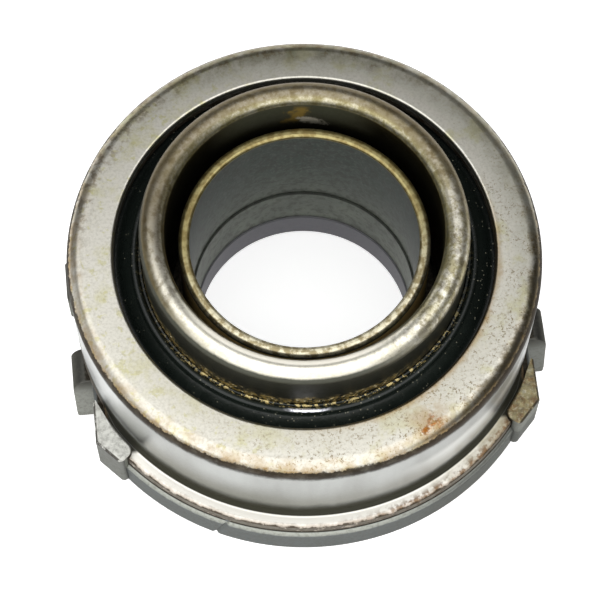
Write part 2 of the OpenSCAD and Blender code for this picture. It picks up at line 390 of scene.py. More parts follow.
def four_ways(turns: np.ndarray) -> np.ndarray:
    """Angles together with their mirror images across both axes."""
    return np.concatenate([turns, np.pi - turns, np.pi + turns, TURN - turns])


def side_reach(turns: np.ndarray, side: float) -> np.ndarray:
    """Distance from the axis to a part's two straight sides at each turn t: side / |cos t|."""
    return side / np.maximum(np.abs(np.cos(turns)), TINY)


def rough(x: np.ndarray, y: np.ndarray, size: float) -> np.ndarray:
    """Uneven height of a hammered face, from -1 to 1: a sum of crossed waves about one size apart."""
    u, v = x * TURN / size, y * TURN / size
    first, second = np.sin(u + 1.3 * np.sin(0.7 * v)), np.sin(1.31 * v + 0.9 * np.sin(0.6 * u))
    return (first + second + np.sin(1.7 * u - 1.1 * v)) / 3.0


def dressed(piece: bpy.types.Object, finish: bpy.types.Material, body: Body, slot: Slot, node: str) -> None:
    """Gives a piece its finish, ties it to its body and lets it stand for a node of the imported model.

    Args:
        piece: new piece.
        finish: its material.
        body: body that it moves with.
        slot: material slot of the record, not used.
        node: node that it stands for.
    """
    piece.data.materials.append(finish)
    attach(piece, body.value)
    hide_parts(node)
    LOG.info("%s: %d faces, for %s", piece.name, len(piece.data.polygons), node)


@dataclass(frozen=True)
class Datum:
    """Heights and radii in millimetres that several pieces share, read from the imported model."""

    plate_top: float
    cover_top: float
    cover_r: float
    ring_rear: float
    ring_front: float
    outer_r: float
    inner_r: float
    nose_top: float
    rim_top: float
    collar_r: float
    lug_x: float
    lug_z: float
    tab_top: float
    sheet_t: float = 2.1
    inner_wall: float = 3.65
    ear_a: float = 43.2
    ear_t: float = 1.4
    ear_gap: float = 0.1
    side_x: float = 33.3
    plate_z: float = 5.0
    flange_w: float = 2.35
    sleeve_r: float = 18.4

    @classmethod
    def from_frame(cls) -> "Datum":
        """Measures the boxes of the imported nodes."""
        def corner(node: str) -> tuple[Vector, Vector]:
            """Lowest and highest corner of a node, in millimetres."""
            low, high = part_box(node)
            return low / MM, high / MM

        cover, outer, inner = corner("cover"), corner("outer_ring"), corner("inner_ring")
        sleeve, plate = corner("guide_sleeve"), corner("carrier_plate")
        return cls(plate_top=cover[0].z, cover_top=cover[1].z, cover_r=cover[1].x, ring_rear=outer[0].z,
                   ring_front=outer[1].z, outer_r=outer[1].x, inner_r=inner[1].x, nose_top=inner[1].z,
                   rim_top=sleeve[1].z, collar_r=sleeve[1].x, lug_x=plate[1].x, lug_z=plate[0].z,
                   tab_top=plate[1].z)

    @property
    def flange_top(self) -> float:
        """Height of the cover's flange."""
        return self.plate_top + self.sheet_t

    @property
    def flange_r(self) -> float:
        """Radius of the cover's flange."""
        return self.cover_r + self.flange_w

    @property
    def flange_cut(self) -> float:
        """Distance of the flange's straight sides from the axis."""
        return self.side_x - self.ear_t - self.ear_gap

    @property
    def ear_in(self) -> float:
        """Distance of an ear's inner face from the axis."""
        return self.flange_r + self.ear_gap

    @property
    def ear_r(self) -> float:
        """Distance of an ear's outer face from the axis."""
        return self.ear_in + self.ear_t


@dataclass(frozen=True)
class CoverSteel:
    """Pressed steel: satin, marked by oil stains, soiled along its edges, darker towards the rear, with a few
    rust spots.

    The rust's places are X, Y and reach in millimetres on the flat top.
    """

    top: Colour = (0.535, 0.52, 0.465)
    hole_side: Colour = (0.36, 0.345, 0.285)
    grained: Colour = (0.24, 0.225, 0.18)
    # Dull tone that darkens the top outwards and towards the rear.
    dull: Colour = (0.120, 0.121, 0.076)
    stain: Colour = (0.42, 0.40, 0.19)
    pit: Colour = (0.17, 0.135, 0.08)
    brown: Colour = (0.27, 0.17, 0.055)
    blotch: Colour = (0.115, 0.085, 0.045)
    smear: Colour = (0.050, 0.040, 0.020)
    rust: Colour = (0.28, 0.095, 0.015)
    rust_core: Colour = (0.15, 0.062, 0.014)
    wall: Colour = (0.32, 0.33, 0.32)
    wall_shade: Colour = (0.205, 0.21, 0.195)
    # Painted light: a paler wall tone for the right front, standing for the floor's reflection there.
    wall_painted_light_right: Colour = (0.66, 0.67, 0.66)
    # Painted light: a paler wall tone for the front left.
    wall_painted_light_left: Colour = (0.50, 0.51, 0.50)
    # Painted shade: a dark wall tone under the top's rounded edge.
    shade_under_edge: Colour = (0.055, 0.058, 0.040)
    # Oil film low on the wall, which also carries painted shade towards the wall's foot.
    oil: Colour = (0.088, 0.091, 0.070)
    # Grime and painted shade, for the hollow at the wall's foot and the flange beside the ears.
    grime_and_shade: Colour = (0.022, 0.021, 0.012)
    soil: Colour = (0.030, 0.018, 0.008)
    soot: Colour = (0.012, 0.011, 0.007)
    # The flange is painted near-white, a painted highlight for its bright lit look.
    flange: Colour = (0.86, 0.835, 0.77)
    flange_film: Colour = (0.27, 0.235, 0.13)
    flange_tan: Colour = (0.20, 0.135, 0.075)
    flange_rust: Colour = (0.16, 0.085, 0.032)
    rim: Colour = (0.035, 0.024, 0.013)
    rim_side: Colour = (0.115, 0.105, 0.085)
    rust_halo: Place = (15.0, -29.0, 5.5)
    rust_spot: Place = (15.6, -28.8, 2.4)
    rust_tail: Place = (14.0, -30.1, 1.5)

    def annulus(self, paint: Paint, mottle: Wire, grain: Wire) -> Wire:
        """Colour of the flat top: darker outwards and towards the rear, pitted in front and with stains in
        patches.

        Args:
            paint: material that is being built.
            mottle: noise of middling size.
            grain: fine noise.

        Returns:
            The colour.
        """
        x, y, radius, smooth, noise = paint.x, paint.y, paint.radius, paint.smooth, paint.noise
        uneven = mottle - 0.5
        stain_and_shade = smooth(noise(5.0, 4.0, 0.62, shift=21.0), 0.50, 0.68)
        fresh = smooth(noise(1.5, 3.0, 0.6, shift=45.0), 0.56, 0.66) * smooth(x, 4.0, -14.0)
        away = smooth(x * 0.5 + y * 0.866, -14.0, 30.0)
        outwards = smooth(radius, 28.4, 34.2)
        hole_side = (1.0 - outwards) * smooth(y, 0.0, -24.0)
        # Darker outwards towards the rear, and in a band along the rear.
        darker_rear_out = away * (outwards * 0.64 + 0.03) + smooth(y, 25.0, 33.0) * 0.22
        patch = smooth(noise(3.0, 3.0, 0.65, shift=33.0), 0.34, 0.62)
        specks = smooth(noise(0.42, 3.0, 0.7, shift=8.0), 0.53, 0.64)
        front_right = smooth(x * 0.7 - y * 0.7, 0.0, 28.0)
        hole = smooth(radius + uneven * 2.0, 29.4, 28.2) * smooth(x, -8.0, 12.0) * smooth(y, 12.0, -4.0)
        fringe = smooth(radius + uneven * 3.0, 32.2, 34.4) * patch * (1.0 - away * 0.6)
        blotch = smooth(noise(1.3, 4.0, 0.7, shift=51.0), 0.47, 0.60) * smooth(y - x * 0.35, 2.0, 26.0)
        blotch = blotch * smooth(radius + uneven * 5.0, 30.6, 33.8)
        smear = smooth(radius + uneven * 4.0, 32.7, 34.0) * smooth(x - y * 0.3, 22.0, 33.0)
        smear = smear * smooth(y, 6.0, -6.0)
        halo = paint.near(*self.rust_halo) * smooth(mottle, 0.36, 0.60)
        spots = paint.near(*self.rust_spot) + paint.near(*self.rust_tail)
        rusty = smooth(spots + (noise(0.9, 4.0, 0.75, shift=17.0) - 0.5) * 3.2, 0.50, 1.05) * spots
        rust = paint.mix(smooth(grain, 0.36, 0.60), self.rust, self.rust_core)
        return paint.coats(
            self.top, (stain_and_shade * 0.55, self.stain), (fresh * 0.6, self.stain),
            (hole_side * 0.55, self.hole_side), (darker_rear_out * (smooth(mottle, 0.25, 0.70) * 0.5 + 0.64), self.dull),
            (smooth(grain, 0.40, 0.76) * 0.30, self.grained),
            (specks * (front_right * patch * 0.85 + 0.14), self.pit), (hole * 0.6, self.brown),
            (fringe * 0.55, self.brown), (blotch * 0.65, self.blotch), (smear * 0.85, self.smear),
            (halo * 0.65, self.brown), (rusty * 0.95, rust))

    def material(self, datum: Datum) -> bpy.types.Material:
        """Builds the material.

        Args:
            datum: shared sizes, which place the soiling and the painted shade on the cover's edges.

        Returns:
            The material.
        """
        paint = Paint("pressed_cover_steel")
        x, y, radius, smooth, noise = paint.x, paint.y, paint.radius, paint.smooth, paint.noise
        cloud = noise(9.0, 4.0, shift=3.0)
        mottle = noise(2.2, 4.0, 0.65, shift=27.0)
        grain = noise(0.42, 2.0, 0.6)
        streak = noise(8.0, 3.0, 0.6, stretch=(1.0, 1.0, 0.2), shift=36.0)
        drift, uneven = cloud - 0.5, mottle - 0.5
        above, below = paint.z - datum.flange_top, datum.cover_top - paint.z
        on_top, on_flange = smooth(below, 2.0, 1.4), smooth(above, 0.07, 0.01)
        right = smooth(x + drift * 20.0, -4.0, 16.0)
        # Painted light: the wall's lit right side, which gets less of the painted shade low on the wall.
        lit_side = smooth(x + drift * 10.0, -14.0, 5.0)
        forward = smooth(y + drift * 8.0, -8.0, -20.0)
        height = above + drift * 3.0 + uneven * 0.8
        # Painted shade under the top's edge, on the right of the wall.
        shade_under_edge = smooth(height, 9.0, 13.5) * smooth(x, 15.0, 30.0)
        # Painted light: a paler band at mid height on the wall's right front.
        painted_light_right = smooth(x, 8.0, 20.0) * paint.band(height, 4.0, 8.5, 2.5) * forward
        # Oil with painted shade low on the wall, at the left, less on the lit side.
        oil_and_low_shade = smooth(height, 12.0, 3.5) * smooth(x, -31.0, -23.0) * (0.78 - lit_side * 0.46)
        # Grime with painted shade in the concave hollow at the wall's foot.
        hollow = smooth(height, 4.0, 1.2) * (1.0 - on_flange)
        # Grime with painted shade on the flange between the front ears and the wall.
        beside_ear = paint.band(y, -22.6, -14.0, 0.7)
        # The flange's near-white tone is a painted highlight, with film at the right and grime with painted
        # shade beside the ears.
        flange = paint.coats(self.flange, (smooth(x + uneven * 18.0, 12.0, 30.0) * 0.8, self.flange_film),
                             (beside_ear * 0.97, self.grime_and_shade))
        ragged = below - (noise(0.6, 4.0, 0.7, shift=5.0) - 0.5) * 0.9 - uneven * 0.9
        fringe = paint.band(ragged, 0.72, 1.2, 0.3) * smooth(mottle, 0.40, 0.62) * smooth(y, 12.0, -4.0)
        edge = smooth(ragged, 0.72, 1.0) * smooth(ragged, 3.4, 2.0)
        outer = paint.math("MAXIMUM", radius - datum.flange_r, paint.math("ABSOLUTE", x) - datum.flange_cut)
        outer = outer + uneven * 0.9 + (grain - 0.5) * 0.25
        tanned = smooth(outer, -0.7, -0.2) * on_flange
        rusty = smooth(noise(1.1, 3.0, 0.6, shift=14.0), 0.42, 0.60) * smooth(radius - datum.cover_r, 0.8, 1.9)
        rim = smooth(outer, -0.24, -0.02) * smooth(above, 0.2, 0.1)
        side = smooth(above, -0.3, -0.7) * smooth(mottle, 0.36, 0.60)
        # Painted light: the wall is painted paler at its front left.
        colour = paint.coats(
            self.wall, (smooth(streak, 0.25, 0.75), self.wall_shade), (shade_under_edge * 0.8, self.shade_under_edge),
            (painted_light_right * 0.85, self.wall_painted_light_right), (smooth(x, -22.0, -30.0) * forward * 0.7, self.wall_painted_light_left),
            (oil_and_low_shade, self.oil), (hollow * 0.95, self.grime_and_shade), (on_flange, flange),
            (on_top, self.annulus(paint, mottle, grain)), (fringe * (0.7 - right * 0.35), self.brown),
            (edge * (mottle * 0.5 + 0.72), paint.mix(cloud, self.soil, self.soot)),
            (tanned * 0.6, self.flange_tan), (rusty * on_flange * right * 0.85, self.flange_rust),
            (rim * 0.95, paint.mix(side, self.rim, self.rim_side)))
        # Dirt on the edges, with the painted shade of the hollow and beside the ears, made rougher and less
        # metallic.
        dirt_and_shade = paint.math("MINIMUM", hollow + edge + rim + beside_ear * on_flange, 1.0)
        paint.bump(grain * 0.7 + mottle * 0.3, 0.025, 0.4)
        # The flange, painted as a highlight, is also made less metallic.
        return paint.surface(
            base_color=colour, roughness=0.25 + grain * 0.12 + dirt_and_shade * 0.3,
            metallic=1.0 - dirt_and_shade * 0.85 - (1.0 - dirt_and_shade) * on_flange * 0.62, specular_ior_level=0.12)


@dataclass(frozen=True)
class PlateSteel:
    """Blanked grey steel: bluish on the rim with a painted highlight along its rounded top edge, paler on the
    ears and lugs, and brown with rust at the right.
    """

    rim: Colour = (0.125, 0.135, 0.137)
    dark: Colour = (0.085, 0.090, 0.086)
    # Painted highlight along the rim's rounded top edge.
    edge: Colour = (0.34, 0.35, 0.31)
    strap: Colour = (0.17, 0.175, 0.165)
    lug: Colour = (0.21, 0.215, 0.195)
    lug_shade: Colour = (0.034, 0.033, 0.029)
    pale: Colour = (0.56, 0.56, 0.52)
    olive: Colour = (0.30, 0.265, 0.15)
    rust: Colour = (0.16, 0.09, 0.04)
    flake: Colour = (0.46, 0.42, 0.31)
    grained: Colour = (0.10, 0.096, 0.082)
    seam: Colour = (0.020, 0.016, 0.011)
    grazing: Colour = (0.5, 0.5, 0.48)

    def material(self, datum: Datum) -> bpy.types.Material:
        """Builds the material.

        Args:
            datum: shared sizes, which place the tabs, the straps and the lugs.

        Returns:
            The material.
        """
        paint = Paint("blanked_plate_steel")
        smooth, noise = paint.smooth, paint.noise
        cloud = noise(4.0, 4.0, shift=2.0)
        grain = noise(0.5, 3.0, 0.65, shift=7.0)
        blotch = noise(1.3, 3.0, 0.6, shift=17.0)
        right = smooth(paint.x + (cloud - 0.5) * 10.0, 4.0, 24.0)
        across, along = (paint.math("ABSOLUTE", axis) for axis in (paint.x, paint.y))
        past_flange, past_side = paint.radius - datum.flange_r, across - datum.side_x
        above, under_tab = paint.z - datum.plate_top, datum.tab_top - paint.z
        past_lugs = smooth(along, 12.6, 13.2)
        # Painted highlight: a pale band along the rim's rounded top edge.
        painted_band = smooth(above + (blotch - 0.5) * 0.3, -0.62, -0.28) * smooth(past_flange, 0.05, 0.2)
        on_strap = smooth(past_flange, 0.72, 0.82) * past_lugs
        on_lug = smooth(past_side, 0.05, 0.3) * (1.0 - past_lugs)
        shaded = smooth(above + (cloud - 0.5) * 1.5, -4.2, -2.0) * smooth(along, 11.0, 10.2) * on_lug
        shelf = smooth(past_flange, 0.35, 0.1) * smooth(above, -0.05, -0.01)
        on_tab = smooth(under_tab, 0.42, 0.25)
        flake = smooth(noise(0.55, 3.0, 0.7, shift=52.0), 0.52, 0.66)
        brown = paint.coats(self.olive, (smooth(blotch, 0.42, 0.70) * 0.85, self.rust),
                            (flake * 0.6, self.flake))
        tab = paint.mix(right * (smooth(blotch, 0.25, 0.45) * 0.5 + 0.5), self.pale, brown)
        tilt = np.radians(datum.ear_a)
        past_ear = across * float(np.cos(tilt)) + along * float(np.sin(tilt)) - datum.ear_r
        outline = smooth(past_side, -0.42, -0.22) + smooth(past_ear, -0.42, -0.22)
        seam = paint.math("MINIMUM", outline * smooth(under_tab, 0.75, 0.55), 1.0) * past_lugs
        seam = seam * smooth(noise(0.9, 3.0, 0.6, shift=41.0), 0.30, 0.52)
        colour = paint.coats(
            self.rim, (cloud * 0.4 + right * 0.75, self.dark),
            (painted_band * (grain * 0.4 + 0.6) * (1.0 - right * 0.5), self.edge),
            (on_strap * (1.0 - right * 0.8), self.strap), (on_lug * (1.0 - right * 0.5), self.lug),
            (shaded * 0.85, self.lug_shade), (shelf, self.seam), (on_tab, tab),
            (smooth(grain, 0.40, 0.74) * 0.5, self.grained), (seam * 0.92, self.seam))
        paint.bump(grain * 0.75 + cloud * 0.25, 0.035, 0.45)
        return paint.surface(base_color=colour, roughness=0.38 + grain * 0.16 + on_tab * 0.06,
                             metallic=0.95 - seam * 0.8, specular_ior_level=0.2, specular_tint=self.grazing)


@dataclass(frozen=True)
class NoseSteel:
    """Polished bearing steel under a golden-brown film of oil, with grease at its foot and inner side, painted
    shade on its outer slope and wall, a painted highlight at the front of the nose and painted glints on the
    grease and oil.
    """

    bare: Colour = (0.84, 0.815, 0.72)
    film: Colour = (0.32, 0.28, 0.12)
    # Tarnish on scuffs, and painted shade on the outer slope.
    tarnish_and_shade: Colour = (0.120, 0.100, 0.039)
    # Darker tone for the crest towards the rear.
    painted_band: Colour = (0.130, 0.105, 0.062)
    blotch: Colour = (0.085, 0.060, 0.024)
    # Painted highlight: a pale tone for the front of the nose.
    pale: Colour = (0.84, 0.80, 0.70)
    edge: Colour = (0.16, 0.11, 0.035)
    shade: Colour = (0.030, 0.027, 0.015)
    oil: Colour = (0.040, 0.044, 0.028)
    # Oil pool with a painted glint, on the rear inner side.
    oil_pool_glint: Colour = (0.55, 0.51, 0.40)
    # Painted shade on the outer wall and on the front's outer slope.
    foot: Colour = (0.040, 0.043, 0.033)
    grease: Colour = (0.21, 0.14, 0.030)
    # Painted glints on the grease clumps.
    grease_glint: Colour = (0.85, 0.76, 0.48)

    def material(self, datum: Datum) -> bpy.types.Material:
        """Builds the material.

        Args:
            datum: shared sizes, which place the film and the painted shade on the ring's sides.

        Returns:
            The material.
        """
        paint = Paint("polished_nose_steel")
        x, y, smooth, noise, band = paint.x, paint.y, paint.smooth, paint.noise, paint.band
        cloud = noise(3.5, 4.0, 0.62, shift=4.0)
        fleck = noise(0.9, 4.0, 0.7, shift=9.0)
        scuff = noise(0.45, 3.0, 0.65, shift=15.0)
        drift, uneven = cloud - 0.5, fleck - 0.5
        out, depth = paint.radius - (datum.inner_r - datum.inner_wall / 2), datum.nose_top - paint.z
        front = smooth(y + x * 0.7, 2.0, -20.0)
        near_side = smooth(y - x * 0.3, 2.0, -20.0)
        rear = smooth(y - x * 0.15, -14.0, 10.0)
        foremost = smooth(y + x * 0.25, -14.0, -20.0)
        filmed = smooth(cloud * 0.5 + fleck * 0.5, 0.38, 0.58)
        scuffed = smooth(scuff, 0.48, 0.66) * (filmed * 0.5 + 0.1) * (1.0 - front * 0.7)
        # Painted shade on the outer slope, least on the near side.
        outer = smooth(out + uneven * 0.5, 0.1, 1.2) * (0.95 - near_side * 0.68)
        inner = smooth(out, -0.6, -1.45) * (0.45 - front * 0.4)
        # The crest is darker towards the rear.
        crest = smooth(out + uneven * 0.8, -1.55, -1.0) * rear
        blotch = smooth(noise(1.6, 4.0, 0.7, shift=61.0), 0.46, 0.60) * (1.0 - foremost)
        edge = smooth(out + uneven * 0.4, -1.3, -1.55) * front
        # Painted highlight on the front of the nose, pale and less metallic.
        pale = smooth(out, -0.3, -0.7) * (1.0 - edge) * foremost
        inside = smooth(out, 0.0, -1.0)
        deep = smooth(depth, 1.3, 1.9) * inside
        oiled = deep * smooth(y, 15.5, 19.6) * smooth(depth, 9.0, 3.0)
        behind = smooth(y, 12.0, 16.0) * inside
        slant = x + (depth - 4.5) * 0.45 + drift * 7.0 + uneven * 3.0
        drip = band(slant, 0.6, 1.6, 1.3) * band(depth + uneven * 2.0, 3.0, 6.0, 1.4) * behind
        spread = x - (depth - 6.5) * 0.5 + drift * 5.0 + uneven * 4.0
        # Oil pool on the rear inner side, painted pale as a glint.
        oil_pool_glint = band(spread, 2.4, 3.6, 1.1) * band(depth + uneven * 2.5, 5.8, 6.9, 0.8) * behind
        # Painted shade on the outer slope at the front, just below the top.
        stain_and_shade = smooth(depth - uneven * 0.3, 0.5, 0.85) * front
        # Painted shade down the outer wall, joined with that of the front's outer slope.
        foot = paint.math("MAXIMUM", smooth(depth, 1.6, 2.6), stain_and_shade) * (1.0 - inside)
        # Grease clumps at the front, which get painted glints where the scuff noise is high.
        clump = smooth(noise(0.75, 4.0, 0.7, shift=31.0), 0.45, 0.56) * (1.0 - inside) * front
        clump = clump * smooth(depth - drift * 5.0, 6.2, 8.0)
        colour = paint.coats(
            self.bare, (filmed * (0.78 - front * 0.58), self.film), (scuffed, self.tarnish_and_shade),
            (outer, self.tarnish_and_shade), (crest * 0.86, self.painted_band), (blotch * 0.5, self.blotch),
            (inner, self.film), (pale * 0.9, self.pale),
            (edge * 0.92, self.edge), (deep * 0.95, self.shade), (oiled * (fleck * 0.6 + 0.5), self.oil),
            (drip * 0.9, self.grease), (oil_pool_glint * 0.85, self.oil_pool_glint), (foot * 0.95, self.foot),
            (clump * 0.9, self.grease), (clump * smooth(scuff, 0.56, 0.64), self.grease_glint))
        paint.bump(cloud * 0.5 + fleck * 0.5 + clump, 0.03, 0.4)
        # The front's painted highlight is also made less metallic.
        return paint.surface(base_color=colour, roughness=0.28 + fleck * 0.2 + foot * 0.05 + oiled * 0.12,
                             metallic=0.98 - oiled * 0.75 - clump * 0.8 - pale * 0.85)


@dataclass(frozen=True)
class SleeveSteel:
    """Turned steel, dull and oiled in the bore, with a golden film on the rim, painted light on the rim's
    front, painted shade at the groove's edges, and painted shade on the outer side below the rim with painted
    light at its front.
    """

    rim: Colour = (0.32, 0.275, 0.125)
    # Painted light: a paler rim tone for the front.
    rim_lit_front: Colour = (0.62, 0.58, 0.43)
    rim_fleck: Colour = (0.17, 0.125, 0.045)
    upper: Colour = (0.038, 0.052, 0.041)
    lower: Colour = (0.112, 0.124, 0.100)
    cloudy: Colour = (0.060, 0.066, 0.058)
    grained: Colour = (0.145, 0.158, 0.135)
    fleck: Colour = (0.034, 0.030, 0.024)
    land: Colour = (0.110, 0.108, 0.118)
    # Painted shade at the groove's edges.
    line: Colour = (0.022, 0.024, 0.021)
    # Painted shade on the outer side below the rim, and painted light on it at the front.
    gap: Colour = (0.03, 0.027, 0.018)
    gap_lit_front: Colour = (0.85, 0.60, 0.22)

    def material(self, datum: Datum) -> bpy.types.Material:
        """Builds the material.

        Args:
            datum: shared sizes, which place the rim.

        Returns:
            The material.
        """
        paint = Paint("turned_sleeve_steel")
        y, z, smooth, noise = paint.y, paint.z, paint.smooth, paint.noise
        cloud = noise(5.0, 4.0, shift=6.0)
        turned = noise(0.35, 2.0, stretch=(0.12, 0.12, 1.0), shift=12.0)
        grain = noise(0.5, 3.0, 0.65, shift=19.0)
        fleck = noise(1.1, 3.0, 0.65, shift=23.0)
        depth = datum.rim_top - z
        on_rim = smooth(depth - (fleck - 0.5) * 0.5, 0.7, 0.3)
        # Painted shade: dark lines at the groove's edges.
        groove_shade = paint.band(z, 17.2, 17.5, 0.15) + paint.band(z, 13.4, 13.75, 0.15)
        # The rim's front is painted paler, as painted light.
        golden = paint.coats(self.rim, (smooth(y - paint.x * 0.1, 4.0, -14.0), self.rim_lit_front),
                             (smooth(fleck, 0.40, 0.60) * 0.8, self.rim_fleck))
        # Painted shade in the gap on the outer side below the rim, with painted light at its front.
        deep = smooth(paint.radius - datum.sleeve_r, -0.35, -0.1) * smooth(depth, 0.6, 1.2)
        facing = smooth(y, 0.0, -12.0)
        colour = paint.coats(
            self.lower, (smooth(z, 10.0, 27.0), self.upper), (smooth(cloud, 0.35, 0.65) * 0.45, self.cloudy),
            (smooth(grain, 0.42, 0.72) * 0.4, self.grained), (smooth(fleck, 0.45, 0.62) * 0.45, self.fleck),
            (smooth(z, 6.0, 5.3), self.land), (groove_shade * 0.7, self.line), (on_rim, golden),
            (deep * 0.85, paint.mix(facing, self.gap, self.gap_lit_front)))
        paint.bump(turned * 0.6 + grain * 0.4, 0.025, 0.35)
        # The gap's painted light at the front is also made less metallic.
        return paint.surface(base_color=colour, roughness=0.46 + grain * 0.16 - on_rim * 0.2,
                             metallic=0.9 - deep * facing * 0.81)


@dataclass(frozen=True)
class SealRubber:
    """Black rubber, glossy with oil, with specks of dust and grease along its lip.

    The glint's place is X, Y and reach in millimetres.
    """

    rubber: Colour = (0.0052, 0.0072, 0.0060)
    sheen: Colour = (0.020, 0.027, 0.022)
    dust: Colour = (0.24, 0.23, 0.17)
    grease: Colour = (0.62, 0.50, 0.22)
    glint: Colour = (0.80, 0.80, 0.88)
    glint_at: Place = (-2.2, -25.2, 4.6)

    def material(self, datum: Datum) -> bpy.types.Material:
        """Builds the material.

        Args:
            datum: shared sizes, which place the grease by the inner ring.

        Returns:
            The material.
        """
        paint = Paint("oiled_seal_rubber")
        smooth, noise = paint.smooth, paint.noise
        cloud = noise(2.5, 4.0, 0.6, shift=1.0)
        ripple = noise(0.8, 3.0, 0.6, shift=26.0)
        uneven = ripple - 0.5
        dusty = smooth(cloud + smooth(paint.x - paint.y, 4.0, 34.0) * 0.16, 0.48, 0.62)
        speck = smooth(paint.grains(0.7), 0.20, 0.08) * dusty
        front = smooth(paint.y, -8.0, -22.0)
        greasy = smooth(noise(0.7, 4.0, 0.7, shift=13.0), 0.50, 0.58)
        greasy = greasy * smooth(paint.radius - datum.inner_r + uneven * 1.6, 0.95, 0.45)
        glint = paint.near(*self.glint_at) * paint.band(paint.radius + uneven * 0.5, 25.0, 25.25, 0.22)
        glint = smooth(glint * (smooth(ripple, 0.30, 0.60) * 0.6 + 0.5), 0.10, 0.65)
        colour = paint.coats(
            self.rubber, (front * cloud * 0.55, self.sheen), (speck * 0.7, self.dust),
            (greasy * (front * 0.95 + 0.05), self.grease), (glint, self.glint))
        paint.bump(cloud * 0.4 + ripple * 0.6, 0.09, 0.5)
        return paint.surface(base_color=colour, roughness=0.16 + cloud * 0.20, metallic=glint,
                             specular_ior_level=0.3)


@dataclass(frozen=True)
class HiddenFinish:
    """Finish of a piece inside the bearing: two tones in fine blotches.

    Args:
        name: name of the material.
        light: lighter tone.
        dark: darker tone.
        metallic: 1 for metal, 0 for polymer.
        roughness: least roughness.
    """

    name: str
    light: Colour
    dark: Colour
    metallic: float
    roughness: float

    def material(self) -> bpy.types.Material:
        """Builds the material."""
        paint = Paint(self.name)
        cloud = paint.noise(2.0, 4.0, 0.6)
        fine = paint.noise(0.25, 2.0, stretch=(0.3, 0.3, 1.0), shift=5.0)
        paint.bump(fine, 0.01, 0.3)
        return paint.surface(base_color=paint.mix(cloud, self.light, self.dark), metallic=self.metallic,
                             roughness=self.roughness + fine * 0.12)


@dataclass
class GuideSleeve:
    """The tube that slides on the gearbox, with its collar, grease groove and rounded rim."""

    datum: Datum
    bore_r: float = 16.5
    bore_relief: float = 0.25
    land_h: float = 5.5
    groove_w: float = 3.8
    groove_depth: float = 0.3
    groove_z: float = 15.5
    rim_edge: float = 0.8
    bore_edge: float = 0.5
    collar_edge: float = 0.6
    groove_edge: float = 0.1
    steps: int = 320

    def build(self) -> bpy.types.Object:
        """Revolves the sleeve's section, which has the groove and the land on its inner side."""
        wide = self.bore_r + self.bore_relief
        deep = wide + self.groove_depth
        high, low = self.groove_z + self.groove_w / 2, self.groove_z - self.groove_w / 2
        datum, bend = self.datum, self.groove_edge
        loop = rounded_loop([
            (self.bore_r, 0.0, self.bore_edge), (datum.collar_r, 0.0, self.collar_edge),
            (datum.collar_r, datum.plate_z, 0.2), (datum.sleeve_r, datum.plate_z, bend),
            (datum.sleeve_r, datum.rim_top, self.rim_edge), (wide, datum.rim_top, self.bore_edge),
            (wide, high, bend), (deep, high, bend), (deep, low, bend), (wide, low, bend),
            (wide, self.land_h, bend), (self.bore_r, self.land_h, 0.15)])
        return revolved(loop, self.steps).piece("sleeve_tube")

    def dress(self) -> None:
        """Builds the sleeve and puts it in place."""
        dressed(self.build(), SleeveSteel().material(self.datum), Body.CARRIER, Slot.SLEEVE, "guide_sleeve")


